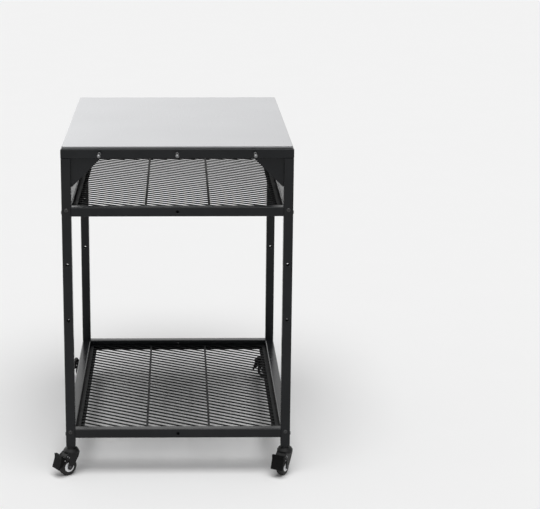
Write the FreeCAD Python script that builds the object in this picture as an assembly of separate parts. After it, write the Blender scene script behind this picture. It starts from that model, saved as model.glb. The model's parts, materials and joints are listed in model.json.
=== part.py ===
import FreeCAD, Part
import math
import os

# Wheeled steel table for a pizza oven. Millimetres, +Z up, the front faces -Y.
# The origin lies on the floor, midway between the four posts.

# Whole table, over the posts and up to the worktop
table_width = 600.0
table_depth = 800.0
table_height = 900.0

# Square tube of the frame
tube_size = 25.0
tube_wall = 1.5
tube_corner = 3.0
plug_clearance = 0.1

# Folded stainless worktop and the channels bonded under it
worktop_inset = 3.0
worktop_lip = 7.0
worktop_sheet = 1.2
worktop_flange = 22.0
worktop_corner = 5.0
worktop_bend = 1.2
channel_spacing = 300.0
channel_width = 40.0
channel_flange = 12.0
channel_depth = 12.0
channel_end_gap = 1.0

# Triangular plates in the top corners of the front and rear frames
gusset_leg = 76.0
gusset_sheet = 3.0
gusset_tip = 3.0

# Two shelves: the upper hangs at a depth under the worktop, the lower stands above the floor
upper_shelf_drop = 160.0
lower_shelf_top = 131.0
panel_recess = 14.0
panel_clearance = 1.0
panel_plate = 3.0
panel_border = 8.0
panel_rim = 3.0
ledge_width = 20.0
ledge_leg = 8.0
ledge_sheet = 2.0
ledge_rise = 1.0
web_width = 5.5
web_spacing = 168.0

# Slanted slots of the shelf panels
slot_angle = 30.0
slot_width = 18.1
slot_bar = 3.2
slot_least_area = 120.0

# Holes that link two tables, through the posts, and one in each end rail
link_hole = 8.5
link_hole_height = 434.0
link_hole_spacing = 151.0
rail_hole = 8.5

# Tool pegs on the front top rail
peg_count = 3
peg_spacing = 200.0
peg_reach = 36.0
peg_rod = 5.0
peg_ball = 10.0
peg_ball_bevel = 0.3
peg_shoulder = 8.0
peg_shoulder_length = 1.5
peg_tail = 6.0
peg_tail_length = 11.0
peg_nut_across = 10.0
peg_nut_length = 5.0

# Bolts that hold the shelf rails to the posts
bolt_shank = 6.0
bolt_head = 10.5
bolt_head_length = 1.8
bolt_head_face = 8.0
bolt_head_edge = 0.8
bolt_socket = 4.0
bolt_socket_depth = 1.2
bolt_hole_clearance = 0.2
bolt_stagger = 4.0
thread_clearance = 0.05
end_plug_length = 15.0

# Screws that hold the worktop down on its rails
screw_shank = 5.0
screw_head = 9.5
screw_head_length = 3.5
screw_head_bevel = 1.2
screw_hole_clearance = 0.25
screw_nut_across = 8.0
screw_nut_length = 4.0
screw_spacing_front = 200.0
screw_spacing_side = 400.0

# Castor: wheel, swivel and fork
wheel_diameter = 50.0
wheel_width = 20.0
wheel_trail = 12.0
wheel_headroom = 16.0
tyre_tread = 11.0
tyre_bevel = 1.6
tyre_seat_clearance = 0.05
hub_diameter = 28.0
hub_rib = 3.0
hub_rib_width = 8.0
hub_face_width = 20.8
hub_boss = 12.6
hub_boss_length = 24.0
hub_groove = 2.2
hub_groove_depth = 3.5
hub_bevel = 0.8
side_clearance = 0.3
running_clearance = 0.05
axle_diameter = 6.0
axle_head = 9.5
axle_head_length = 2.0
axle_head_taper = 1.2
fork_leg = 2.6
fork_tip = 13.0
fork_dome = 42.0
fork_dome_straight = 6.5
fork_dome_bevel = 4.0
fork_neck = 23.0
fork_neck_length = 4.0
fork_crown = 15.0
fork_corner = 6.0
fork_eye_wall = 3.2
fork_ear_set_back = 15.5
fork_ear_drop = 5.5
fork_brow_set_back = 9.6
fork_brow_drop = 1.5
fork_nape_set_back = 11.5
fork_nape_drop = 9.0
fork_heel_set_back = 12.5
fork_heel_rise = 17.0
fork_knee_set_back = 5.5
fork_knee_rise = 27.0
fork_apron = 2.6
fork_apron_set_back = 3.7
fork_apron_rise = 6.0
fork_skirt = 3.5
fork_skirt_wall = 2.6
swivel_gap = 1.0
stem_shank = 10.0
stem_shank_length = 22.0
stem_collar = 18.0
stem_collar_length = 4.0
stem_spindle = 8.0
stem_rivet = 13.0
stem_rivet_length = 3.0
stem_clearance = 0.4
foot_plug_length = 24.0

# Castor: brake pedal, and the pins in the fork
pedal_pin_gap = 5.0
pedal_pin_angle = 53.13
pedal_pin = 4.0
pedal_boss = 12.0
pedal_width = 35.0
pedal_plate = 3.0
pedal_side_gap = 0.3
pedal_lip_reach = 20.0
pedal_lip_drop = 24.0
pedal_wing_reach = 12.0
pedal_wing_rise = 15.5
pedal_wing_depth = 8.0
pedal_waist_reach = 11.0
pedal_waist_rise = 3.0
pedal_arm_width = 19.0
pedal_shoe_gap = 0.3
pedal_shoe_shift = 0.7
pedal_shelf_drop = 2.0
pedal_shelf_reach = 4.0
pedal_edge = 0.8
pedal_corner = 2.0
pedal_bend = 12.0
pedal_cheek_inset = 3.5
pedal_cheek_rise = 8.0
pedal_arm_drop = 9.0
pedal_arm_rise = 2.0
pedal_rib = 3.0
pedal_rib_stand = 0.5
pedal_rib_start = 5.0
pedal_rib_pitch = 4.0
pedal_rib_count = 3
pedal_rib_margin = 4.0
rivet_diameter = 3.6
pin_stand = 0.8
wheel_rivet_reach = 3.5
wheel_rivet_gap = 4.0
ear_rivet_set_back = 9.5
ear_rivet_rise = 9.0
rivet_boss = 6.0

# Way in which each castor trails, in degrees round +Z from +X
castor_headings = {
    ("front", "left"): 215.0,
    ("front", "right"): 240.0,
    ("rear", "left"): 170.0,
    ("rear", "right"): 155.0,
}

# Heights and places that follow from the sizes above
castor_height = wheel_diameter + wheel_headroom + fork_crown + swivel_gap
worktop_underside = table_height - worktop_lip
upper_shelf_top = table_height - upper_shelf_drop
top_rail_bottom = worktop_underside - tube_size
post_x = table_width / 2 - tube_size / 2
post_y = table_depth / 2 - tube_size / 2
inner_x = table_width / 2 - tube_size
inner_y = table_depth / 2 - tube_size

vector = FreeCAD.Vector
directions = {"X": vector(1, 0, 0), "Y": vector(0, 1, 0), "Z": vector(0, 0, 1)}
side_signs = {"left": -1, "right": 1}
end_signs = {"front": -1, "rear": 1}


# Drawing aids

def to_space(plane, u, v, offset):
    # A point (u, v) drawn on the named plane, moved along the plane's normal.
    if plane == "XY":
        return vector(u, v, offset)
    if plane == "XZ":
        return vector(u, offset, v)
    return vector(offset, u, v)


def plane_normal(plane):
    return {"XY": directions["Z"], "XZ": directions["Y"], "YZ": directions["X"]}[plane]


def join_curves(turns, plane, offset):
    # Each turn is (start, middle, end) of an arc, or three equal points for a sharp corner.
    edges = []
    count = len(turns)
    for index in range(count):
        start, middle, end = turns[index]
        following = turns[(index + 1) % count][0]
        here = [to_space(plane, p[0], p[1], offset) for p in (start, middle, end)]
        if here[0].distanceToPoint(here[2]) > 1e-6:
            edges.append(Part.Arc(here[0], here[1], here[2]).toShape())
        target = to_space(plane, following[0], following[1], offset)
        if here[2].distanceToPoint(target) > 1e-6:
            edges.append(Part.LineSegment(here[2], target).toShape())
    return Part.Wire(Part.__sortEdges__(edges))


def rounded_turns(corners):
    # Corners are (u, v, radius); each is replaced by an arc tangent to its two sides.
    turns = []
    count = len(corners)
    for index in range(count):
        u, v, radius = corners[index]
        before = corners[index - 1]
        after = corners[(index + 1) % count]
        if radius <= 0:
            turns.append(((u, v), (u, v), (u, v)))
            continue
        back = vector(before[0] - u, before[1] - v, 0).normalize()
        ahead = vector(after[0] - u, after[1] - v, 0).normalize()
        half = back.getAngle(ahead) / 2
        middle_line = (back + ahead).normalize()
        corner = vector(u, v, 0)
        centre = corner + middle_line * (radius / math.sin(half))
        cut = radius / math.tan(half)
        points = (corner + back * cut, centre - middle_line * radius, corner + ahead * cut)
        turns.append(tuple((p.x, p.y) for p in points))
    return turns


def belt_turns(circles):
    # Circles are (u, v, radius), anticlockwise; a belt is laid tightly round them.
    count = len(circles)
    normals = []
    for index in range(count):
        u, v, radius = circles[index]
        next_u, next_v, next_radius = circles[(index + 1) % count]
        span = math.hypot(next_u - u, next_v - v)
        along = vector((next_u - u) / span, (next_v - v) / span, 0)
        outward = vector(along.y, -along.x, 0)
        lean = (radius - next_radius) / span
        normals.append(along * lean + outward * math.sqrt(1 - lean * lean))
    turns = []
    for index in range(count):
        u, v, radius = circles[index]
        arriving = normals[index - 1]
        leaving = normals[index]
        halfway = (arriving + leaving).normalize()
        turns.append(tuple((u + n.x * radius, v + n.y * radius) for n in (arriving, halfway, leaving)))
    return turns


def slab(turns, plane, start, thickness):
    # A flat plate whose outline is drawn on the plane, from start along the plane's normal.
    face = Part.Face(join_curves(turns, plane, start))
    return face.extrude(plane_normal(plane) * thickness)


def rectangle(width, height, radius=0.0, centre=(0.0, 0.0)):
    u, v = centre
    corners = [
        (u - width / 2, v - height / 2, radius),
        (u + width / 2, v - height / 2, radius),
        (u + width / 2, v + height / 2, radius),
        (u - width / 2, v + height / 2, radius),
    ]
    return rounded_turns(corners)


def inner_radius(radius, wall):
    return max(radius - wall, 0.0)


def rod(diameter, axis, start, length):
    # A round bar that starts at a point and runs along a named axis.
    return Part.makeCylinder(diameter / 2, length, start, directions[axis])


def centred_rod(diameter, axis, centre, length):
    return rod(diameter, axis, centre - directions[axis] * (length / 2), length)


def hexagon(across, plane, start, thickness):
    radius = across / math.sqrt(3)
    angles = [math.radians(60 * k) for k in range(6)]
    points = [(radius * math.cos(a), radius * math.sin(a)) for a in angles]
    return slab([(p, p, p) for p in points], plane, start, thickness)


def bevelled_turns(corners):
    # Corners are (u, v, bevel); each is cut off at that distance along both of its sides.
    points = []
    count = len(corners)
    for index in range(count):
        u, v, bevel = corners[index]
        if bevel <= 0:
            points.append((u, v))
            continue
        for other in (corners[index - 1], corners[(index + 1) % count]):
            share = bevel / math.hypot(other[0] - u, other[1] - v)
            points.append((u + (other[0] - u) * share, v + (other[1] - v) * share))
    return [(p, p, p) for p in points]


def turned(corners, axis="Z"):
    # A body of revolution from (radius, height) corners and their bevels.
    face = Part.Face(join_curves(bevelled_turns(corners), "XZ", 0.0))
    shape = face.revolve(vector(0, 0, 0), directions["Z"], 360)
    if axis == "Y":
        shape.rotate(vector(0, 0, 0), directions["X"], -90)
    return shape


def fused(shapes):
    result = shapes[0].multiFuse(shapes[1:]) if len(shapes) > 1 else shapes[0]
    return result.removeSplitter()


def moved(shape, x=0.0, y=0.0, z=0.0):
    copy = shape.copy()
    copy.translate(vector(x, y, z))
    return copy


# Frame

def tube(axis, length, centre):
    plane = {"X": "YZ", "Y": "XZ", "Z": "XY"}[axis]
    hollow = tube_size - 2 * tube_wall
    outer = slab(rectangle(tube_size, tube_size, tube_corner), plane, -length / 2, length)
    inner = slab(rectangle(hollow, hollow, inner_radius(tube_corner, tube_wall)), plane, -length / 2, length)
    return moved(outer.cut(inner), centre.x, centre.y, centre.z)


def plug(axis, length, centre):
    # A block that fits inside the tube.
    plane = {"X": "YZ", "Y": "XZ", "Z": "XY"}[axis]
    half = tube_size / 2 - tube_wall - plug_clearance
    bevel = inner_radius(tube_corner, tube_wall)
    corners = [(-half, -half, bevel), (half, -half, bevel), (half, half, bevel), (-half, half, bevel)]
    block = slab(bevelled_turns(corners), plane, -length / 2, length)
    return moved(block, centre.x, centre.y, centre.z)


def screw_places():
    # Points on the rails' centre lines where the worktop is screwed down.
    places = []
    for sign in (-1, 1):
        for step in (-1, 1):
            places.append((step * screw_spacing_front / 2, sign * post_y))
            places.append((sign * post_x, step * screw_spacing_side / 2))
    return places


def make_top_rail(axis, sign):
    # One side of the mitred top frame.
    middle = top_rail_bottom + tube_size / 2
    if axis == "X":
        rail = tube("X", table_width, vector(0, sign * post_y, middle))
        corners = [(-1, 1), (1, 1), (1, 0), (-1, 0)]
        points = [(a * (inner_x + b * tube_size), sign * (inner_y + b * tube_size)) for a, b in corners]
    else:
        rail = tube("Y", table_depth, vector(sign * post_x, 0, middle))
        corners = [(-1, 1), (1, 1), (1, 0), (-1, 0)]
        points = [(sign * (inner_x + b * tube_size), a * (inner_y + b * tube_size)) for a, b in corners]
    wedge = slab([(p, p, p) for p in points], "XY", top_rail_bottom, tube_size)
    rail = rail.common(wedge)
    hole = screw_shank + 2 * screw_hole_clearance
    for x, y in screw_places():
        on_rail = y == sign * post_y if axis == "X" else x == sign * post_x
        if on_rail:
            rail = rail.cut(centred_rod(hole, "Z", vector(x, y, middle), 2 * tube_size))
    if axis == "X" and sign == end_signs["front"]:
        tail_hole = peg_tail + 2 * thread_clearance
        for x in peg_places():
            start = vector(x, -table_depth / 2 - tube_wall, middle)
            rail = rail.cut(rod(tail_hole, "Y", start, 3 * tube_wall))
    return rail


def shelf_middle(top):
    return top - tube_size / 2


def make_post(side, end):
    length = top_rail_bottom - castor_height
    centre = vector(side * post_x, end * post_y, castor_height + length / 2)
    post = tube("Z", length, centre)
    for height in (link_hole_height, link_hole_height + link_hole_spacing):
        hole = centred_rod(link_hole, "Y", vector(centre.x, centre.y, height), 2 * tube_size)
        post = post.cut(hole)
    bolt_hole = bolt_shank + 2 * bolt_hole_clearance
    for top in (upper_shelf_top, lower_shelf_top):
        for axis, shift in (("X", -bolt_stagger), ("Y", bolt_stagger)):
            place = vector(centre.x, centre.y, shelf_middle(top) + shift)
            post = post.cut(centred_rod(bolt_hole, axis, place, 2 * tube_size))
    return post


def make_gusset(side, end):
    # A plate that closes the corner under the top rail, with blunt tips.
    corners = [
        (0, 0),
        (gusset_leg, 0),
        (gusset_leg, -gusset_tip),
        (gusset_tip, -gusset_leg),
        (0, -gusset_leg),
    ]
    points = [(side * (inner_x - u), top_rail_bottom + v) for u, v in corners]
    return slab([(p, p, p) for p in points], "XZ", end * post_y - gusset_sheet / 2, gusset_sheet)


# Worktop

def make_worktop():
    width = table_width - 2 * worktop_inset
    depth = table_depth - 2 * worktop_inset
    outer = slab(rectangle(width, depth, worktop_corner), "XY", worktop_underside, worktop_lip)
    rim = [e for e in outer.Edges if all(abs(v.Z - table_height) < 0.001 for v in e.Vertexes)]
    outer = outer.makeFillet(min(worktop_bend, worktop_corner / 2), rim)
    corner = inner_radius(worktop_corner, worktop_sheet)
    hollow = slab(
        rectangle(width - 2 * worktop_sheet, depth - 2 * worktop_sheet, corner),
        "XY", worktop_underside + worktop_sheet, worktop_lip - 2 * worktop_sheet)
    mouth = slab(
        rectangle(width - 2 * worktop_flange, depth - 2 * worktop_flange),
        "XY", worktop_underside - worktop_sheet, 3 * worktop_sheet)
    top = outer.cut(hollow).cut(mouth)
    hole = screw_shank + 2 * screw_hole_clearance
    for x, y in screw_places():
        top = top.cut(centred_rod(hole, "Z", vector(x, y, worktop_underside), 3 * worktop_sheet))
    return top


def make_channel(y):
    # A hat-shaped stiffener under the worktop, open to the top.
    skin = table_height - worktop_sheet
    foot = channel_width / 2 + channel_flange
    web = channel_width / 2
    inner = web - worktop_sheet
    bottom = skin - channel_depth
    half = [
        (foot, skin),
        (foot, skin - worktop_sheet),
        (web, skin - worktop_sheet),
        (web, bottom),
    ]
    lining = [(inner, bottom + worktop_sheet), (inner, skin)]
    points = half[::-1] + lining[::-1]
    outline = [(y + u, v) for u, v in half] + [(y - u, v) for u, v in half[::-1]]
    outline += [(y - u, v) for u, v in points[len(half):]] + [(y + u, v) for u, v in lining]
    length = 2 * (inner_x - channel_end_gap)
    return slab([(p, p, p) for p in outline], "YZ", -length / 2, length)


def make_worktop_screw(x, y):
    head_top = top_rail_bottom
    length = worktop_underside + worktop_sheet + screw_nut_length - head_top
    shank = rod(screw_shank, "Z", vector(x, y, head_top), length)
    head = moved(
        turned([
            (0, 0, 0),
            (screw_head / 2 - screw_head_bevel, 0, 0),
            (screw_head / 2, screw_head_length, 0),
            (0, screw_head_length, 0),
        ]), x, y, head_top - screw_head_length)
    return fused([head, shank])


def make_worktop_nut(x, y):
    bottom = worktop_underside + worktop_sheet
    nut = moved(hexagon(screw_nut_across, "XY", bottom, screw_nut_length), x, y)
    bore = screw_shank + 2 * thread_clearance
    return nut.cut(centred_rod(bore, "Z", vector(x, y, bottom), 4 * screw_nut_length))


# Shelves

def make_end_rail(end, top):
    # Front or rear rail of a shelf, between two posts.
    centre = vector(0, end * post_y, shelf_middle(top))
    rail = tube("X", 2 * inner_x, centre)
    return rail.cut(centred_rod(rail_hole, "Y", centre, 2 * tube_size))


def make_side_rail(side, top):
    return tube("Y", 2 * inner_y, vector(side * post_x, 0, shelf_middle(top)))


def ledge_section(top):
    # Corners of the angle iron, as (distance from the rail, height).
    bottom = top - tube_size + ledge_rise
    return [
        (0, bottom),
        (ledge_width, bottom),
        (ledge_width, bottom + ledge_sheet),
        (ledge_sheet, bottom + ledge_sheet),
        (ledge_sheet, bottom + ledge_leg),
        (0, bottom + ledge_leg),
    ]


def make_ledges(top):
    ledges = []
    for sign in (-1, 1):
        side = [(sign * (inner_x - u), v) for u, v in ledge_section(top)]
        ledges.append(slab([(p, p, p) for p in side], "XZ", -inner_y, 2 * inner_y))
        end = [(sign * (inner_y - u), v) for u, v in ledge_section(top)]
        length = 2 * (inner_x - ledge_width)
        ledges.append(slab([(p, p, p) for p in end], "YZ", -length / 2, length))
    return ledges


def panel_size():
    gap = ledge_sheet + panel_clearance
    return 2 * (inner_x - gap), 2 * (inner_y - gap)


def panel_height():
    return tube_size - panel_recess - ledge_rise - ledge_sheet


def make_panel(top):
    # Slotted plate with a rim folded down all round, which stands on the ledges.
    width, depth = panel_size()
    surface = top - panel_recess
    block = slab(rectangle(width, depth, panel_rim), "XY", surface - panel_height(), panel_height())
    below = slab(
        rectangle(width - 2 * panel_rim, depth - 2 * panel_rim),
        "XY", surface - panel_height(), panel_height() - panel_plate)
    slots = [slot for window in panel_windows(surface) for slot in window_slots(window, surface)]
    return block.cut(below).cut(Part.makeCompound(slots))


def panel_windows(surface):
    # The three slotted fields, as blocks through the plate.
    width, depth = panel_size()
    field = width / 2 - panel_border
    near = web_spacing / 2 - web_width / 2
    far = web_spacing / 2 + web_width / 2
    edges = [(-field, -far), (-near, near), (far, field)]
    length = depth - 2 * panel_border
    windows = []
    for left, right in edges:
        outline = rectangle(right - left, length, 0.0, ((left + right) / 2, 0.0))
        windows.append(slab(outline, "XY", surface - 2 * panel_plate, 3 * panel_plate))
    return windows


def window_slots(window, surface):
    # Slanted strips at an even pitch, cut to the window.
    box = window.BoundBox
    slope = math.tan(math.radians(slot_angle))
    pitch = (slot_width + slot_bar) / math.cos(math.radians(slot_angle))
    low = box.YMin + slope * box.XMin
    high = box.YMax + slope * box.XMax
    reach = math.hypot(box.XLength, box.YLength)
    slots = []
    for index in range(math.floor(low / pitch) - 1, math.ceil(high / pitch) + 2):
        outline = rectangle(reach, slot_width, 0.0, (0.0, 0.0))
        strip = slab(outline, "XY", surface - 1.5 * panel_plate, 2 * panel_plate)
        strip.rotate(vector(0, 0, 0), directions["Z"], -slot_angle)
        middle = (box.XMin + box.XMax) / 2
        strip.translate(vector(middle, index * pitch - slope * middle, 0))
        slot = strip.common(window)
        if slot.Volume / (2 * panel_plate) > slot_least_area:
            slots.append(slot)
    return slots


def make_webs(top):
    # Flat bars under the panel's two webs, from ledge to ledge.
    foot = top - panel_recess - panel_height()
    height = panel_height() - panel_plate
    length = panel_size()[1] - 2 * panel_rim
    bars = []
    for sign in (-1, 1):
        outline = rectangle(web_width, length, 0.0, (sign * web_spacing / 2, 0.0))
        bars.append(slab(outline, "XY", foot, height))
    return bars


# Fasteners of the frame

def make_bolt():
    # Button-head bolt along +Z, with the underside of its head at the origin.
    length = tube_size + end_plug_length
    head = turned([
        (0, -bolt_head_length, 0),
        (bolt_head_face / 2, -bolt_head_length, 0),
        (bolt_head / 2, -bolt_head_edge, 0),
        (bolt_head / 2, 0, 0),
        (0, 0, 0),
    ])
    socket = hexagon(bolt_socket, "XY", -bolt_head_length, bolt_socket_depth)
    return fused([head.cut(socket), rod(bolt_shank, "Z", vector(0, 0, 0), length)])


def shelf_bolt_places():
    # Start on the post's outer face, axis and inward sign of every shelf bolt.
    places = []
    for top in (upper_shelf_top, lower_shelf_top):
        for side in (-1, 1):
            for end in (-1, 1):
                low = shelf_middle(top) - bolt_stagger
                high = shelf_middle(top) + bolt_stagger
                places.append((vector(side * table_width / 2, end * post_y, low), "X", -side))
                places.append((vector(side * post_x, end * table_depth / 2, high), "Y", -end))
    return places


def make_shelf_bolts():
    bolts = []
    for start, axis, inward in shelf_bolt_places():
        bolt = make_bolt()
        if axis == "X":
            bolt.rotate(vector(0, 0, 0), directions["Y"], 90 * inward)
        else:
            bolt.rotate(vector(0, 0, 0), directions["X"], -90 * inward)
        bolts.append(moved(bolt, start.x, start.y, start.z))
    return bolts


def make_end_plugs():
    # Threaded blocks in the ends of the shelf rails.
    plugs = []
    for start, axis, inward in shelf_bolt_places():
        step = directions[axis] * inward
        middle = start + step * (tube_size + end_plug_length / 2)
        shift = bolt_stagger if axis == "X" else -bolt_stagger
        block = plug(axis, end_plug_length, middle + vector(0, 0, shift))
        bore = bolt_shank + 2 * thread_clearance
        plugs.append(block.cut(centred_rod(bore, axis, middle, 2 * end_plug_length)))
    return plugs


def peg_places():
    return [(k - (peg_count - 1) / 2) * peg_spacing for k in range(peg_count)]


def make_peg(x):
    # Round-ended peg that stands out of the front of the top rail.
    middle = top_rail_bottom + tube_size / 2
    face = -table_depth / 2
    start = vector(x, face, middle)
    ball_centre = vector(x, face - peg_reach + peg_ball / 2, middle)
    radius = peg_ball / 2
    bevel = peg_ball * peg_ball_bevel
    knob = [(0, -radius, 0), (radius, -radius, bevel), (radius, radius, bevel), (0, radius, 0)]
    pieces = [
        rod(peg_rod, "Y", ball_centre, peg_reach - peg_ball / 2),
        moved(turned(knob, "Y"), ball_centre.x, ball_centre.y, ball_centre.z),
        rod(peg_shoulder, "Y", start - vector(0, peg_shoulder_length, 0), peg_shoulder_length),
        rod(peg_tail, "Y", start, peg_tail_length),
    ]
    return fused(pieces)


def make_peg_nut(x):
    middle = top_rail_bottom + tube_size / 2
    start = -table_depth / 2 + tube_wall
    nut = moved(hexagon(peg_nut_across, "XZ", start, peg_nut_length), x, 0, middle)
    bore = peg_tail + 2 * thread_clearance
    return nut.cut(centred_rod(bore, "Y", vector(x, start, middle), 4 * peg_nut_length))


# Castor, drawn with its swivel axis at the origin: +X trails, +Y lies along the axle

def axle_place():
    return vector(wheel_trail, 0, wheel_diameter / 2)


def pedal_pin_place():
    reach = wheel_diameter / 2 + pedal_pin_gap
    angle = math.radians(pedal_pin_angle)
    return axle_place() + vector(reach * math.cos(angle), 0, reach * math.sin(angle))


def crown_bottom():
    return wheel_diameter + wheel_headroom


def crown_top():
    return crown_bottom() + fork_crown


def fork_inside():
    return hub_boss_length + 2 * side_clearance


def fork_outside():
    return fork_inside() + 2 * fork_leg


def collar_seat():
    # Height of the recess floor in the crown, under the stem's collar.
    return castor_height - stem_collar_length - stem_clearance


def rivet_places():
    # Two cross rivets of the fork: one over the wheel, one over the pedal pin.
    axle = axle_place()
    pin = pedal_pin_place()
    over_wheel = axle + vector(wheel_rivet_reach, 0, wheel_diameter / 2 + wheel_rivet_gap)
    over_pin = pin + vector(-ear_rivet_set_back, 0, ear_rivet_rise)
    return [over_wheel, over_pin]


def make_tyre():
    # Tyre with a flat tread, round shoulders and a groove for the hub's rib.
    radius = wheel_diameter / 2
    seat = hub_diameter / 2 + tyre_seat_clearance
    groove = seat + hub_rib
    half = wheel_width / 2
    groove_half = hub_rib_width / 2 + tyre_seat_clearance
    shoulder = radius - (wheel_width - tyre_tread) / 2
    profile = [
        (seat, -half, 0),
        (shoulder, -half, tyre_bevel),
        (radius, -tyre_tread / 2, tyre_bevel),
        (radius, tyre_tread / 2, tyre_bevel),
        (shoulder, half, tyre_bevel),
        (seat, half, 0),
        (seat, groove_half, 0),
        (groove, groove_half, 0),
        (groove, -groove_half, 0),
        (seat, -groove_half, 0),
    ]
    return place_on_axle(turned(profile, "Y"))


def make_hub():
    # Hub with a ring on each face, a groove round its boss and a rib that locks the tyre.
    bore = axle_diameter / 2 + running_clearance
    ring = hub_diameter / 2
    boss = hub_boss / 2
    half_boss = hub_boss_length / 2
    half_ring = hub_face_width / 2
    floor = half_ring - hub_groove_depth
    side = [
        (bore, half_boss, 0),
        (boss, half_boss, 0),
        (boss, floor, 0),
        (boss + hub_groove, floor, 0),
        (boss + hub_groove, half_ring, 0),
        (ring, half_ring, hub_bevel),
        (ring, hub_rib_width / 2, 0),
        (ring + hub_rib, hub_rib_width / 2, 0),
    ]
    mirrored = [(u, -v, radius) for u, v, radius in reversed(side)]
    return place_on_axle(turned(side + mirrored, "Y"))


def place_on_axle(shape):
    axle = axle_place()
    return moved(shape, axle.x, axle.y, axle.z)


def make_axle():
    # Axle with a low tapered head at each end.
    half_grip = fork_outside() / 2
    half_length = half_grip + axle_head_length
    face = axle_head / 2 - axle_head_taper
    profile = [
        (0, -half_length, 0),
        (face, -half_length, 0),
        (axle_head / 2, -half_grip, 0),
        (axle_diameter / 2, -half_grip, 0),
        (axle_diameter / 2, half_grip, 0),
        (axle_head / 2, half_grip, 0),
        (face, half_length, 0),
        (0, half_length, 0),
    ]
    return place_on_axle(turned(profile, "Y"))


def make_pins():
    # The pedal's pin and the two rivets, each a little proud of what it holds.
    pins = [centred_rod(pedal_pin, "Y", pedal_pin_place(), pedal_width + 2 * pin_stand)]
    for place in rivet_places():
        pins.append(centred_rod(rivet_diameter, "Y", place, fork_outside() + 2 * pin_stand))
    return pins


def make_stem():
    # Threaded stem with a collar, and the spindle that the fork turns on.
    spindle_bottom = crown_bottom() - stem_clearance
    collar_bottom = castor_height - stem_collar_length
    profile = [
        (0, spindle_bottom - stem_rivet_length, 0),
        (stem_spindle / 2, spindle_bottom - stem_rivet_length, 0),
        (stem_rivet / 2, spindle_bottom, 0),
        (stem_spindle / 2, spindle_bottom, 0),
        (stem_spindle / 2, collar_bottom, 0),
        (stem_collar / 2, collar_bottom, 0),
        (stem_collar / 2, castor_height, 0),
        (stem_shank / 2, castor_height, 0),
        (stem_shank / 2, castor_height + stem_shank_length, 0),
        (0, castor_height + stem_shank_length, 0),
    ]
    return turned(profile)


def make_crown():
    # Domed head of the fork, with the swivel bore and a short skirt.
    outer = fork_dome / 2
    inner = outer - fork_skirt_wall
    bore = stem_spindle / 2 + running_clearance
    recess = stem_collar / 2 + stem_clearance
    bottom = crown_bottom()
    profile = [
        (bore, bottom, 0),
        (inner, bottom, 0),
        (inner, bottom - fork_skirt, 0),
        (outer, bottom - fork_skirt, 0),
        (outer, bottom + fork_dome_straight, fork_dome_bevel),
        (fork_neck / 2, crown_top() - fork_neck_length, 0),
        (fork_neck / 2, crown_top(), 0),
        (recess, crown_top(), 0),
        (recess, collar_seat(), 0),
        (bore, collar_seat(), 0),
    ]
    return turned(profile)


def leg_outlines():
    # Circles that each part of a leg is drawn tightly round: the shank, and the ear at the pedal pin.
    axle = axle_place()
    pin = pedal_pin_place()
    top = crown_bottom()
    rear = -fork_dome / 2
    tip = (axle.x, axle.z, fork_tip / 2)
    knee = (axle.x - fork_knee_set_back, axle.z + fork_knee_rise, fork_corner)
    heel = (axle.x - fork_heel_set_back, axle.z + fork_heel_rise, fork_corner)
    eye = (pin.x, pin.z, pedal_pin / 2 + fork_eye_wall)
    ear = (pin.x - fork_ear_set_back, top - fork_ear_drop, fork_corner)
    brow = (rear + fork_brow_set_back, top - fork_brow_drop, fork_corner)
    nape = (rear + fork_nape_set_back, top - fork_nape_drop, fork_corner)
    return [[tip, knee, brow, nape, heel], [eye, ear, brow, nape]]


def apron_circles():
    # Circles of the wall that joins the legs over the wheel, with a boss round the rivet.
    pin = pedal_pin_place()
    rivet = rivet_places()[1]
    half = fork_apron / 2
    return [
        (pin.x - fork_apron_set_back, pin.z + fork_apron_rise, half),
        (fork_dome / 2 - fork_skirt_wall + half, crown_bottom() - fork_skirt, half),
        (rivet.x, rivet.z, rivet_boss / 2),
    ]


def make_fork():
    # Crown, two legs and the apron between them, bored for the axle, the pedal pin and the rivets.
    legs = []
    for start in (-fork_outside() / 2, fork_inside() / 2):
        for circles in leg_outlines():
            legs.append(slab(belt_turns(circles), "XZ", start, fork_leg))
    shell = fused([make_crown()] + legs)
    inner = fork_dome - 2 * fork_skirt_wall
    hollow = rod(inner, "Z", vector(0, 0, crown_bottom() - 2 * fork_skirt), 2 * fork_skirt)
    between = rectangle(fork_dome, 2 * fork_dome, 0.0, (0.0, crown_bottom()))
    keep = slab(between, "XZ", -fork_inside() / 2, fork_inside())
    shell = shell.cut(hollow.common(keep))
    apron = slab(belt_turns(apron_circles()), "XZ", -fork_inside() / 2, fork_inside())
    shell = fused([shell, apron])
    bores = [(axle_place(), axle_diameter), (pedal_pin_place(), pedal_pin)]
    bores += [(place, rivet_diameter) for place in rivet_places()]
    for place, diameter in bores:
        shell = shell.cut(centred_rod(diameter + 2 * running_clearance, "Y", place, 2 * fork_outside()))
    return shell


def pedal_corners():
    # Corners of the pedal's lip, waist and wing, as (distance along X, height).
    pin = pedal_pin_place()
    lip = (pin.x + pedal_lip_reach, pin.z - pedal_lip_drop)
    waist = (pin.x + pedal_waist_reach, pin.z + pedal_waist_rise)
    wing = (pin.x + pedal_wing_reach, pin.z + pedal_wing_rise)
    return lip, waist, wing


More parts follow.
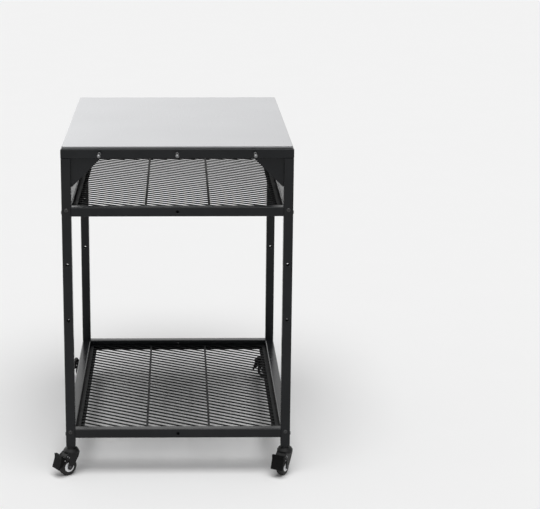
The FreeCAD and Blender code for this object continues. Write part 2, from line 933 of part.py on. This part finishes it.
def make_shield():
    # The waisted plate that the foot presses, with a lip below and a wing above.
    lip, waist, wing = pedal_corners()
    back = wing[0] - pedal_wing_depth
    shelf = wing[1] - pedal_shelf_drop
    shield = [
        (back, shelf - pedal_plate, pedal_edge),
        (wing[0] - pedal_plate - pedal_corner, shelf - pedal_plate, pedal_corner),
        (waist[0] - pedal_plate, waist[1], pedal_bend),
        (lip[0] - pedal_plate, lip[1], pedal_edge),
        (lip[0], lip[1] + pedal_edge, pedal_edge),
        (waist[0], waist[1], pedal_bend),
        (wing[0], wing[1], pedal_edge),
        (wing[0] - pedal_shelf_reach, shelf, pedal_corner),
        (back, shelf, pedal_edge),
    ]
    return slab(rounded_turns(shield), "XZ", -pedal_width / 2, pedal_width)


def make_cheeks():
    # Side walls of the pedal, outside the fork's legs.
    lip, waist, wing = pedal_corners()
    pin = pedal_pin_place()
    cheek = [
        (pin.x, pin.z, pedal_boss / 2),
        (lip[0] - pedal_plate - pedal_cheek_inset, lip[1] + pedal_cheek_rise, pedal_corner),
        (wing[0] - pedal_plate - pedal_edge, wing[1] - pedal_plate - pedal_corner, pedal_corner),
    ]
    wall = pedal_width / 2 - fork_outside() / 2 - pedal_side_gap
    starts = (-pedal_width / 2, pedal_width / 2 - wall)
    return [slab(belt_turns(cheek), "XZ", start, wall) for start in starts]


def make_brake_arm():
    # Arm between the legs, from the shield to the shoe that grips the tyre.
    lip, waist, wing = pedal_corners()
    pin = pedal_pin_place()
    angle = math.radians(pedal_pin_angle)
    shift = vector(pedal_shoe_shift * math.cos(angle), 0, pedal_shoe_shift * math.sin(angle))
    shoe_radius = pedal_pin_gap - pedal_shoe_gap - pedal_shoe_shift
    half = pedal_plate / 2
    arm = [
        (pin.x - shift.x, pin.z - shift.z, shoe_radius),
        (waist[0] - pedal_plate, waist[1] - pedal_arm_drop, half),
        (waist[0] - pedal_plate, waist[1] + pedal_arm_rise, half),
    ]
    return slab(belt_turns(arm), "XZ", -pedal_arm_width / 2, pedal_arm_width)


def make_grip_ribs():
    # Round ribs across the shield, near its lip.
    lip, waist, wing = pedal_corners()
    ribs = []
    for index in range(pedal_rib_count):
        height = lip[1] + pedal_rib_start + index * pedal_rib_pitch
        share = (height - lip[1]) / (waist[1] - lip[1])
        face = lip[0] + share * (waist[0] - lip[0])
        centre = vector(face + pedal_rib_stand - pedal_rib / 2, 0, height)
        ribs.append(centred_rod(pedal_rib, "Y", centre, pedal_width - 2 * pedal_rib_margin))
    return ribs


def make_pedal():
    pedal = fused([make_shield()] + make_cheeks() + [make_brake_arm()] + make_grip_ribs())
    bore = pedal_pin + 2 * running_clearance
    return pedal.cut(centred_rod(bore, "Y", pedal_pin_place(), 2 * pedal_width))


def make_foot_plug(side, end):
    middle = castor_height + foot_plug_length / 2
    place = vector(side * post_x, end * post_y, middle)
    block = plug("Z", foot_plug_length, place)
    bore = stem_shank + 2 * thread_clearance
    return block.cut(centred_rod(bore, "Z", place, 2 * foot_plug_length))


def castor_pieces():
    return {
        "stem": [make_stem()],
        "fork": [make_fork()],
        "axle": [make_axle()],
        "tyre": [make_tyre()],
        "hub": [make_hub()],
        "brake_pedal": [make_pedal()],
        "pins": make_pins(),
    }


def stand_castor(shape, side, end, heading):
    placed = shape.copy()
    placed.rotate(vector(0, 0, 0), directions["Z"], heading)
    return moved(placed, side * post_x, end * post_y)


# Whole table

def make_table():
    nodes = {"worktop": [make_worktop()]}
    nodes["worktop_channels"] = [make_channel(sign * channel_spacing / 2) for sign in (-1, 1)]
    nodes["worktop_screws"] = [make_worktop_screw(x, y) for x, y in screw_places()]
    nodes["worktop_nuts"] = [make_worktop_nut(x, y) for x, y in screw_places()]
    for name, sign in end_signs.items():
        nodes["top_rail_" + name] = [make_top_rail("X", sign)]
    for name, sign in side_signs.items():
        nodes["top_rail_" + name] = [make_top_rail("Y", sign)]
    for shelf, top in (("upper_shelf", upper_shelf_top), ("lower_shelf", lower_shelf_top)):
        for name, sign in end_signs.items():
            nodes[shelf + "_rail_" + name] = [make_end_rail(sign, top)]
        for name, sign in side_signs.items():
            nodes[shelf + "_rail_" + name] = [make_side_rail(sign, top)]
        nodes[shelf + "_ledges"] = make_ledges(top)
        nodes[shelf + "_panel"] = [make_panel(top)]
        nodes[shelf + "_webs"] = make_webs(top)
    nodes["shelf_bolts"] = make_shelf_bolts()
    nodes["rail_end_plugs"] = make_end_plugs()
    nodes["tool_pegs"] = [make_peg(x) for x in peg_places()]
    nodes["tool_peg_nuts"] = [make_peg_nut(x) for x in peg_places()]
    nodes["gusset_plates"] = []
    nodes["foot_plugs"] = []
    castor = castor_pieces()
    for end_name, end in end_signs.items():
        for side_name, side in side_signs.items():
            corner = end_name + "_" + side_name
            heading = castor_headings[(end_name, side_name)]
            nodes["post_" + corner] = [make_post(side, end)]
            nodes["gusset_plates"].append(make_gusset(side, end))
            nodes["foot_plugs"].append(make_foot_plug(side, end))
            for piece, shapes in castor.items():
                name = "castor_" + corner + "_" + piece
                nodes[name] = [stand_castor(shape, side, end, heading) for shape in shapes]
    return nodes


def write_parts(nodes):
    os.makedirs("parts", exist_ok=True)
    for name, shapes in nodes.items():
        shape = shapes[0] if len(shapes) == 1 else Part.makeCompound(shapes)
        shape.exportStep("parts/" + name + ".step")


write_parts(make_table())
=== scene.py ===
import bpy
import json
import math
from mathutils import Matrix, Vector


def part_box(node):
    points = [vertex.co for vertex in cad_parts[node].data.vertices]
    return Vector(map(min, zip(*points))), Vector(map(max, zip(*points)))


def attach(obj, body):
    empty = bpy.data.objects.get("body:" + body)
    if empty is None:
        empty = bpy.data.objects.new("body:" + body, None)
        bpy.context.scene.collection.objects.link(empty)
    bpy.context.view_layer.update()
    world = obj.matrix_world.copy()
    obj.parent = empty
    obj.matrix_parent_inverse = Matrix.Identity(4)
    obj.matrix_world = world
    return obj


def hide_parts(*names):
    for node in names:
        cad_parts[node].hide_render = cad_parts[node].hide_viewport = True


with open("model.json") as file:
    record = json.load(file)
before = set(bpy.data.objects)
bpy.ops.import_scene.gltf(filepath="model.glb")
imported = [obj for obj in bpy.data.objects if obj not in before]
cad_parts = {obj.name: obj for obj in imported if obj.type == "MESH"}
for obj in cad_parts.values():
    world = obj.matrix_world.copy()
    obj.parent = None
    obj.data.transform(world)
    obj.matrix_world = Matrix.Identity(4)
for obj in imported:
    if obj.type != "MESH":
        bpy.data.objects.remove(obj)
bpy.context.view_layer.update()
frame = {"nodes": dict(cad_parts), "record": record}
nodes = frame["nodes"]
print("frame loaded:", len(nodes), "nodes")

# lengths are in metres, but for the camera's sensor in millimetres, and angles are in degrees


# node helpers, so that each material below reads as a short recipe

nodeSpacing = {"column": 260.0, "row": 320.0}


def startMaterial(name):
    material = bpy.data.materials.new(name)
    material.use_nodes = True
    tree = material.node_tree
    tree.nodes.clear()
    output = tree.nodes.new("ShaderNodeOutputMaterial")
    shader = tree.nodes.new("ShaderNodeBsdfPrincipled")
    tree.links.new(shader.outputs["BSDF"], output.inputs["Surface"])
    place = tree.nodes.new("ShaderNodeTexCoord")
    return material, tree, shader, place.outputs["Object"]


def layOut(tree):
    # in the node editor each node stands a column left of all that it feeds, one below the other
    output = tree.get_output_node("ALL")
    columns = {output.name: 0}
    waiting = [output]
    while waiting:
        node = waiting.pop()
        for source in [link.from_node for socket in node.inputs for link in socket.links]:
            if columns.get(source.name, 0) <= columns[node.name]:
                columns[source.name] = columns[node.name] + 1
                waiting.append(source)
    taken = [0] * len(tree.nodes)
    for name, column in columns.items():
        tree.nodes[name].location = (-column * nodeSpacing["column"], -taken[column] * nodeSpacing["row"])
        taken[column] += 1


def stretched(tree, vector, scale):
    mapping = tree.nodes.new("ShaderNodeMapping")
    mapping.inputs["Scale"].default_value = scale
    tree.links.new(vector, mapping.inputs["Vector"])
    return mapping.outputs["Vector"]


def noise(tree, vector, scale, detail, roughness):
    texture = tree.nodes.new("ShaderNodeTexNoise")
    texture.inputs["Scale"].default_value = scale
    texture.inputs["Detail"].default_value = detail
    texture.inputs["Roughness"].default_value = roughness
    tree.links.new(vector, texture.inputs["Vector"])
    return texture.outputs["Fac"]


def ramp(tree, factor, levels, stops):
    # levels are two greys or two colours, one for each stop
    node = tree.nodes.new("ShaderNodeValToRGB")
    for element, level, position in zip(node.color_ramp.elements, levels, stops):
        element.position = position
        element.color = (*level, 1.0) if isinstance(level, tuple) else (level, level, level, 1.0)
    tree.links.new(factor, node.inputs["Fac"])
    return node.outputs["Color"]


def multiplied(tree, first, second):
    node = tree.nodes.new("ShaderNodeMix")
    node.data_type = "RGBA"
    node.blend_type = "MULTIPLY"
    sockets = {socket.identifier: socket for socket in (*node.inputs, *node.outputs)}
    sockets["Factor_Float"].default_value = 1.0
    tree.links.new(first, sockets["A_Color"])
    tree.links.new(second, sockets["B_Color"])
    return sockets["Result_Color"]


def bump(tree, shader, height, depth, strength):
    node = tree.nodes.new("ShaderNodeBump")
    node.inputs["Strength"].default_value = strength
    node.inputs["Distance"].default_value = depth
    tree.links.new(height, node.inputs["Height"])
    tree.links.new(node.outputs["Normal"], shader.inputs["Normal"])


# powder coat: satin black with a fine grain and a few rubbed, dusty patches

frameCoat = {
    "colour": (0.0068, 0.0076, 0.0086),
    "dust": (0.0125, 0.0132, 0.0145),
    "specular": 0.20,
    "roughness": (0.18, 0.28),
    "grain": 1400.0,
    "depth": 0.00004,
}
shelfCoat = {
    "colour": (0.0036, 0.0039, 0.0043),
    "dust": (0.0070, 0.0074, 0.0078),
    "specular": 0.06,
    "roughness": (0.42, 0.55),
    "grain": 1200.0,
    "depth": 0.00005,
}
coatPattern = {
    "patches": {"scale": 9.0, "detail": 5.0, "roughness": 0.6},
    "patchStops": (0.42, 0.85),
    "clouds": {"scale": 45.0, "detail": 3.0, "roughness": 0.5},
    "cloudStops": (0.25, 0.75),
    "grain": {"detail": 2.0, "roughness": 0.5},
    "bumpStrength": 0.5,
}


def makePowderCoat(name, values):
    material, tree, shader, place = startMaterial(name)
    patches = noise(tree, place, **coatPattern["patches"])
    colour = ramp(tree, patches, (values["colour"], values["dust"]), coatPattern["patchStops"])
    tree.links.new(colour, shader.inputs["Base Color"])
    clouds = noise(tree, place, **coatPattern["clouds"])
    rough = ramp(tree, clouds, values["roughness"], coatPattern["cloudStops"])
    tree.links.new(rough, shader.inputs["Roughness"])
    shader.inputs["Specular IOR Level"].default_value = values["specular"]
    grain = noise(tree, place, values["grain"], **coatPattern["grain"])
    bump(tree, shader, grain, values["depth"], coatPattern["bumpStrength"])
    return material


# stainless worktop: brushed along its length, with faint smears

worktopSteel = {
    "bright": (0.482, 0.487, 0.498),
    "dull": (0.405, 0.41, 0.425),
    "roughness": (0.24, 0.36),
    "stroke": (1.0, 0.012, 1.0),
    "strokeScale": 900.0,
    "depth": 0.00002,
    "anisotropy": 0.55,
}

# folded skirt of the worktop: the same steel, rougher and less brushed where the fold drew it, and its
# colour darkened as painted shade

worktopShadedSkirt = {
    "bright": (0.21, 0.212, 0.216),
    "dull": (0.15, 0.152, 0.155),
    "roughness": (0.30, 0.42),
    "stroke": (0.05, 0.05, 1.0),
    "strokeScale": 2400.0,
    "depth": 0.00001,
    "anisotropy": 0.3,
}
brushPattern = {
    "strokes": {"detail": 6.0, "roughness": 0.65},
    "strokeStops": (0.2, 0.8),
    "smears": {"scale": 3.2, "detail": 4.0, "roughness": 0.5},
    "smearStops": (0.35, 0.7),
    "smearLevels": (0.93, 1.0),
    "bumpStrength": 0.4,
}


def makeBrushedSteel(name, values):
    material, tree, shader, place = startMaterial(name)
    drawnOut = stretched(tree, place, values["stroke"])
    strokes = noise(tree, drawnOut, values["strokeScale"], **brushPattern["strokes"])
    smears = noise(tree, place, **brushPattern["smears"])
    colour = ramp(tree, strokes, (values["dull"], values["bright"]), brushPattern["strokeStops"])
    veil = ramp(tree, smears, brushPattern["smearLevels"], brushPattern["smearStops"])
    tree.links.new(multiplied(tree, colour, veil), shader.inputs["Base Color"])
    rough = ramp(tree, strokes, values["roughness"], brushPattern["strokeStops"])
    tree.links.new(rough, shader.inputs["Roughness"])
    shader.inputs["Metallic"].default_value = 1.0
    shader.inputs["Anisotropic"].default_value = values["anisotropy"]
    across = tree.nodes.new("ShaderNodeTangent")    # turned about Y, it runs straight across a level face
    across.direction_type = "RADIAL"
    across.axis = "Y"
    tree.links.new(across.outputs["Tangent"], shader.inputs["Tangent"])
    bump(tree, shader, strokes, values["depth"], brushPattern["bumpStrength"])
    return material


# plated steel: pegs, nuts and pins; roughness is given for the dull specks, then for the bright ones

brightSteel = {
    "bright": (0.22, 0.222, 0.225),
    "dull": (0.15, 0.152, 0.155),
    "roughness": (0.36, 0.24),
    "speckle": 400.0,
    "depth": 0.00001,
}
zincSteel = {
    "bright": (0.66, 0.67, 0.69),
    "dull": (0.50, 0.51, 0.54),
    "roughness": (0.48, 0.30),
    "speckle": 260.0,
    "depth": 0.00002,
}
pinSteel = {
    "bright": (0.30, 0.30, 0.305),
    "dull": (0.17, 0.17, 0.175),
    "roughness": (0.45, 0.3),
    "speckle": 700.0,
    "depth": 0.00001,
}
platePattern = {
    "specks": {"detail": 5.0, "roughness": 0.6},
    "speckStops": (0.3, 0.7),
    "bumpStrength": 0.3,
}


def makePlatedSteel(name, values):
    material, tree, shader, place = startMaterial(name)
    specks = noise(tree, place, values["speckle"], **platePattern["specks"])
    colour = ramp(tree, specks, (values["dull"], values["bright"]), platePattern["speckStops"])
    tree.links.new(colour, shader.inputs["Base Color"])
    rough = ramp(tree, specks, values["roughness"], platePattern["speckStops"])
    tree.links.new(rough, shader.inputs["Roughness"])
    shader.inputs["Metallic"].default_value = 1.0
    bump(tree, shader, specks, values["depth"], platePattern["bumpStrength"])
    return material


# black fasteners, moulded plastics and rubber

blackFastener = {
    "colour": (0.006, 0.006, 0.007),
    "worn": (0.02, 0.02, 0.021),
    "specular": 0.5,
    "roughness": (0.28, 0.42),
    "grain": 900.0,
    "depth": 0.00002,
}
castorPlastic = {
    "colour": (0.0036, 0.0038, 0.0040),
    "worn": (0.0085, 0.0086, 0.0090),
    "specular": 0.22,
    "roughness": (0.38, 0.5),
    "grain": 1100.0,
    "depth": 0.00005,
}
pedalPlastic = {
    "colour": (0.0020, 0.0021, 0.0022),
    "worn": (0.0042, 0.0043, 0.0045),
    "specular": 0.07,
    "roughness": (0.45, 0.6),
    "grain": 1300.0,
    "depth": 0.00005,
}
plugPlastic = {
    "colour": (0.012, 0.012, 0.012),
    "worn": (0.02, 0.02, 0.02),
    "specular": 0.4,
    "roughness": (0.5, 0.62),
    "grain": 700.0,
    "depth": 0.00006,
}
tyreRubber = {
    "colour": (0.007, 0.007, 0.0075),
    "worn": (0.024, 0.0235, 0.023),
    "specular": 0.3,
    "roughness": (0.55, 0.74),
    "grain": 650.0,
    "depth": 0.00008,
}
hubPlastic = {
    "colour": (0.74, 0.75, 0.765),
    "worn": (0.80, 0.805, 0.815),
    "specular": 0.5,
    "roughness": (0.3, 0.42),
    "grain": 500.0,
    "depth": 0.00003,
}
mouldPattern = {
    "patches": {"scale": 60.0, "detail": 5.0, "roughness": 0.6},
    "colourStops": (0.4, 0.8),
    "roughStops": (0.3, 0.7),
    "grain": {"detail": 3.0, "roughness": 0.55},
    "bumpStrength": 0.5,
}


def makeMoulding(name, values):
    material, tree, shader, place = startMaterial(name)
    patches = noise(tree, place, **mouldPattern["patches"])
    colour = ramp(tree, patches, (values["colour"], values["worn"]), mouldPattern["colourStops"])
    tree.links.new(colour, shader.inputs["Base Color"])
    rough = ramp(tree, patches, values["roughness"], mouldPattern["roughStops"])
    tree.links.new(rough, shader.inputs["Roughness"])
    shader.inputs["Specular IOR Level"].default_value = values["specular"]
    grain = noise(tree, place, values["grain"], **mouldPattern["grain"])
    bump(tree, shader, grain, values["depth"], mouldPattern["bumpStrength"])
    return material


# finishes by the names of the record's material slots, and one extra finish for the worktop's sides: the
# worktop steel darkened as painted shade

finishes = {
    "worktop_steel": makeBrushedSteel("worktopSteel", worktopSteel),
    "worktop_shaded_skirt": makeBrushedSteel("worktopShadedSkirt", worktopShadedSkirt),
    "frame_black": makePowderCoat("framePowderCoat", frameCoat),
    "shelf_black": makePowderCoat("shelfPowderCoat", shelfCoat),
    "bright_steel": makePlatedSteel("brightSteel", brightSteel),
    "zinc_steel": makePlatedSteel("zincSteel", zincSteel),
    "castor_pins": makePlatedSteel("pinSteel", pinSteel),
    "black_fastener": makeMoulding("blackFastener", blackFastener),
    "castor_plastic": makeMoulding("castorPlastic", castorPlastic),
    "pedal_plastic": makeMoulding("pedalPlastic", pedalPlastic),
    "plug_plastic": makeMoulding("plugPlastic", plugPlastic),
    "tyre_rubber": makeMoulding("tyreRubber", tyreRubber),
    "hub_plastic": makeMoulding("hubPlastic", hubPlastic),
}
for finish in finishes.values():
    layOut(finish.node_tree)
for row in frame["record"]["subparts"]:
    for slot in nodes[row["node"]].material_slots:
        slot.material = finishes[row["material_slot"]]


# modelling helpers: everything is deselected first, then picked by place or direction

closeness = {
    "upright": 0.9,     # how nearly an edge runs along Z
    "level": 0.999,     # how nearly a face looks along Z
    "height": 1e-5,     # how near an edge lies to a height
    "merge": 1e-6,      # points nearer than this become one
}


def backToObject():
    bpy.ops.object.mode_set(mode="OBJECT")


def dropSelection():
    bpy.ops.object.select_all(action="DESELECT")


def makeActive(piece):
    dropSelection()
    piece.select_set(True)
    bpy.context.view_layer.objects.active = piece


def pick(piece, kind, test):
    # kind is FACE or EDGE; test sees the middle and the direction of each one
    backToObject()
    makeActive(piece)
    bpy.ops.object.mode_set(mode="EDIT")
    bpy.ops.mesh.select_mode(type=kind)
    bpy.ops.mesh.select_all(action="DESELECT")
    backToObject()
    mesh = piece.data
    if kind == "FACE":
        for face in mesh.polygons:
            face.select = test(face.center, face.normal)
    else:
        for edge in mesh.edges:
            start, end = (mesh.vertices[index].co for index in edge.vertices)
            edge.select = test((start + end) / 2, (end - start).normalized())
    bpy.ops.object.mode_set(mode="EDIT")


def freeze(piece, name):
    piece.name = name
    makeActive(piece)
    bpy.ops.object.transform_apply(location=True, rotation=True, scale=True)


def recalculate(piece):
    makeActive(piece)
    bpy.ops.object.mode_set(mode="EDIT")
    bpy.ops.mesh.select_all(action="SELECT")
    bpy.ops.mesh.remove_doubles(threshold=closeness["merge"])
    bpy.ops.mesh.normals_make_consistent(inside=False)
    backToObject()


def smooth(piece, angle):
    makeActive(piece)
    bpy.ops.object.shade_smooth_by_angle(angle=math.radians(angle))


def give(piece, slots, body, replaced):
    # finishes, body and the nodes that the piece stands for; the first slot names its finish
    piece.data.materials.clear()
    for name in slots:
        piece.data.materials.append(finishes[name])
    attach(piece, body)
    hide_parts(*replaced)


def copyOf(piece, name, matrix):
    twin = piece.copy()
    twin.data = piece.data.copy()
    twin.data.transform(matrix)
    twin.name = name
    bpy.context.scene.collection.objects.link(twin)
    return twin


def joined(pieces, name):
    makeActive(pieces[0])
    for piece in pieces[1:]:
        piece.select_set(True)
    bpy.ops.object.join()
    pieces[0].name = name
    return pieces[0]


def turnOnLathe(name, profile, sides):
    # profile holds (height, radius) pairs going up +Z; the first two make the starting cylinder
    (bottom, radius), (top, _) = profile[0], profile[1]
    dropSelection()
    bpy.ops.mesh.primitive_cylinder_add(vertices=sides, radius=radius, depth=top - bottom,
                                        location=(0, 0, (top + bottom) / 2))
    piece = bpy.context.object
    freeze(piece, name)
    pick(piece, "FACE", lambda middle, normal: normal.z > closeness["level"])
    for height, width in profile[2:]:
        bpy.ops.mesh.extrude_region_move(TRANSFORM_OT_translate={"value": (0, 0, height - top)})
        share = width / radius
        bpy.ops.transform.resize(value=(share, share, 1.0), center_override=(0, 0, height))
        top, radius = height, width
    backToObject()
    recalculate(piece)
    return piece


# worktop: a folded tray with rolled edges and a return flange

worktopTray = {
    "cornerRadius": 0.005,
    "cornerSteps": 6,
    "bendRadius": 0.0016,
    "bendSteps": 4,
    "sheet": 0.0012,
    "flange": 0.022,
    "rimStrip": 0.0015,      # narrow faces round the top, so that the bends don't shade the flat
    "smoothAngle": 30.0,
    # the faces this picks keep the lit colour, and the rest get the skirt's painted shade
    "brushedLitFacing": 0.6,    # faces that look up by more than this are brushed
}


def makeWorktop():
    shape = worktopTray
    low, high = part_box("worktop")
    dropSelection()
    bpy.ops.mesh.primitive_cube_add(size=1.0, location=(low + high) / 2, scale=high - low)
    tray = bpy.context.object
    freeze(tray, "worktopTray")
    pick(tray, "EDGE", lambda middle, along: abs(along.z) > closeness["upright"])
    bpy.ops.mesh.bevel(offset=shape["cornerRadius"], segments=shape["cornerSteps"])
    for rim in (high.z, low.z):
        pick(tray, "EDGE", lambda middle, along: abs(middle.z - rim) < closeness["height"])
        bpy.ops.mesh.bevel(offset=shape["bendRadius"], segments=shape["bendSteps"])
    pick(tray, "FACE", lambda middle, normal: normal.z > closeness["level"])
    bpy.ops.mesh.inset(thickness=shape["rimStrip"])
    pick(tray, "FACE", lambda middle, normal: normal.z < -closeness["level"])
    bpy.ops.mesh.inset(thickness=shape["flange"] - shape["bendRadius"])
    bpy.ops.mesh.delete(type="FACE")
    backToObject()
    makeActive(tray)
    wall = tray.modifiers.new("sheet", "SOLIDIFY")
    wall.thickness = shape["sheet"]
    wall.offset = -1.0
    bpy.ops.object.modifier_apply(modifier="sheet")
    smooth(tray, shape["smoothAngle"])
    give(tray, ("worktop_steel", "worktop_shaded_skirt"), "frame", ["worktop"])
    # the top and the upper part of its bends are brushed and keep the lit colour, and the rest takes the
    # skirt's finish, darkened as painted shade
    bendStart = high.z - shape["bendRadius"]
    for face in tray.data.polygons:
        brushed = face.normal.z > shape["brushedLitFacing"] and face.center.z > bendStart
        face.material_index = 0 if brushed else 1


makeWorktop()
print("worktop modelled")


# tool pegs: a tail in the rail, a collar, a rod and a ball that keeps the tools from sliding off

pegShape = {
    "count": 3,
    "spacing": 0.2,
    "tailRadius": 0.003,
    "tailLength": 0.011,
    "collarRadius": 0.004,
    "collarLength": 0.0015,
    "collarSoft": 0.0003,
    "rodRadius": 0.0025,
    "ballRadius": 0.005,
    "reach": 0.036,
    "sides": 32,
    "ballRings": 12,
    "lastRing": 172.0,
    "smoothAngle": 40.0,
}


def pegProfile(shape):
    # tail, collar with a softened edge, rod, then rings up the ball
    tail = shape["tailRadius"]
    collar = shape["collarRadius"]
    rod = shape["rodRadius"]
    ball = shape["ballRadius"]
    face = shape["tailLength"]
    collarEnd = face + shape["collarLength"]
    profile = [(0.0, tail), (face, tail), (face, collar), (collarEnd - shape["collarSoft"], collar),
               (collarEnd, collar - shape["collarSoft"]), (collarEnd, rod)]
    centre = face + shape["reach"] - ball
    first = math.asin(rod / ball)
    last = math.radians(shape["lastRing"])
    for ring in range(shape["ballRings"] + 1):
        angle = first + (last - first) * ring / shape["ballRings"]
        profile.append((centre - ball * math.cos(angle), ball * math.sin(angle)))
    return profile


def makePegs():
    shape = pegShape
    railLow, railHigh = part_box("top_rail_front")
    peg = turnOnLathe("peg", pegProfile(shape), shape["sides"])
    laidForward = Matrix.Rotation(math.radians(90.0), 4, "X")
    pegs = []
    for index in range(shape["count"]):
        across = (index - (shape["count"] - 1) / 2) * shape["spacing"]
        place = Vector((across, railLow.y + shape["tailLength"], (railLow.z + railHigh.z) / 2))
        pegs.append(copyOf(peg, "peg", Matrix.Translation(place) @ laidForward))
    bpy.data.objects.remove(peg)
    row = joined(pegs, "toolPegs")
    smooth(row, shape["smoothAngle"])
    give(row, ("bright_steel",), "frame", ["tool_pegs"])


makePegs()
print("tool pegs modelled")


# floor, world and lamp

studio = {
    "paper": 0.905,
    "paperNoise": {"scale": 4.0, "detail": 4.0, "roughness": 0.55},
    "paperShade": 0.995,
    "paperStops": (0.3, 0.7),
    "floorSize": 60.0,
    "ambient": 0.36,
    "depthGlow": (1.0, 1.2),    # front and rear
    "depthReach": 0.7,
    "sideGlow": (1.3, 0.65),    # left and right
    "sideReach": 0.45,
    "keyStrength": 2.1,
    "keyAngle": 48.0,
    "keyTilt": (20.0, 1.0),
}


def makeFloor():
    dropSelection()
    bpy.ops.mesh.primitive_plane_add(size=studio["floorSize"], location=(0, 0, 0))
    floor = bpy.context.object
    floor.name = "floor"
    material, tree, shader, place = startMaterial("paperFloor")
    cloudy = noise(tree, place, **studio["paperNoise"])
    tones = (studio["paper"] * studio["paperShade"], studio["paper"])
    tree.links.new(ramp(tree, cloudy, tones, studio["paperStops"]), shader.inputs["Base Color"])
    shader.inputs["Roughness"].default_value = 1.0
    shader.inputs["Specular IOR Level"].default_value = 0.0
    layOut(tree)
    floor.data.materials.append(material)


def greyGlow(tree, level, strength=1.0):
    node = tree.nodes.new("ShaderNodeBackground")
    node.inputs["Color"].default_value = (level, level, level, 1.0)
    node.inputs["Strength"].default_value = strength
    return node


def fadeAcross(tree, direction, reach, glow):
    # strength that goes softly from the first glow to the second as direction goes from -reach to reach
    fade = tree.nodes.new("ShaderNodeMapRange")
    fade.interpolation_type = "SMOOTHSTEP"
    fade.inputs["From Min"].default_value = -reach
    fade.inputs["From Max"].default_value = reach
    fade.inputs["To Min"].default_value = glow[0]
    fade.inputs["To Max"].default_value = glow[1]
    tree.links.new(direction, fade.inputs["Value"])
    return fade.outputs["Result"]


def calculated(tree, operation, first, second):
    node = tree.nodes.new("ShaderNodeMath")
    node.operation = operation
    tree.links.new(first, node.inputs[0])
    tree.links.new(second, node.inputs[1])
    return node.outputs["Value"]


def chosen(tree, factor, usual, special):
    # usual where factor is 0, special where it is 1
    node = tree.nodes.new("ShaderNodeMixShader")
    tree.links.new(factor, node.inputs[0])
    tree.links.new(usual.outputs[0], node.inputs[1])
    tree.links.new(special.outputs[0], node.inputs[2])
    return node


def makeWorld():
    world = bpy.data.worlds.new("studio")
    bpy.context.scene.world = world
    world.use_nodes = True
    tree = world.node_tree
    tree.nodes.clear()
    output = tree.nodes.new("ShaderNodeOutputWorld")
    seen = greyGlow(tree, studio["paper"])
    light = greyGlow(tree, 1.0, studio["ambient"])
    # reflections see a lit backdrop at the rear, a dimmer room at the front and a window on the left
    mirrored = greyGlow(tree, 1.0)
    direction = tree.nodes.new("ShaderNodeTexCoord")
    split = tree.nodes.new("ShaderNodeSeparateXYZ")
    tree.links.new(direction.outputs["Generated"], split.inputs[0])
    depthwise = fadeAcross(tree, split.outputs["Y"], studio["depthReach"], studio["depthGlow"])
    sideways = fadeAcross(tree, split.outputs["X"], studio["sideReach"], studio["sideGlow"])
    tree.links.new(calculated(tree, "MULTIPLY", depthwise, sideways), mirrored.inputs["Strength"])
    rays = tree.nodes.new("ShaderNodeLightPath").outputs
    plain = calculated(tree, "MAXIMUM", rays["Is Camera Ray"], rays["Is Transmission Ray"])
    shine = chosen(tree, rays["Is Glossy Ray"], light, mirrored)
    whole = chosen(tree, plain, shine, seen)
    tree.links.new(whole.outputs[0], output.inputs["Surface"])
    layOut(tree)


def makeLamp():
    lamp = bpy.data.lights.new("key", "SUN")
    lamp.energy = studio["keyStrength"]
    lamp.angle = math.radians(studio["keyAngle"])
    key = bpy.data.objects.new("key", lamp)
    key.rotation_euler = (math.radians(studio["keyTilt"][0]), math.radians(studio["keyTilt"][1]), 0)
    bpy.context.scene.collection.objects.link(key)


makeFloor()
makeWorld()
makeLamp()
print("studio ready")


# camera, fitted to the photograph's 540 x 509 frame

cameraView = {
    "place": (0.004, -4.397, 1.663),
    "yaw": 0.57,
    "pitch": 13.54,
    "focalPixels": 1587.0,
    "frameWidth": 540.0,
    "sensor": 36.0,
    "shift": (0.14, -0.06),
    "clip": (0.1, 200.0),
}


def makeCamera():
    data = bpy.data.cameras.new("camera")
    data.sensor_width = cameraView["sensor"]
    data.lens = cameraView["focalPixels"] / cameraView["frameWidth"] * cameraView["sensor"]
    data.shift_x, data.shift_y = cameraView["shift"]
    data.clip_start, data.clip_end = cameraView["clip"]
    camera = bpy.data.objects.new("camera", data)
    camera.location = cameraView["place"]
    lookingDown = math.radians(90.0 - cameraView["pitch"])    # 90 degrees would look level along +Y
    camera.rotation_euler = (lookingDown, 0, math.radians(-cameraView["yaw"]))
    bpy.context.scene.collection.objects.link(camera)
    bpy.context.scene.camera = camera


makeCamera()
bpy.context.scene.view_settings.view_transform = "Standard"
print("camera ready")
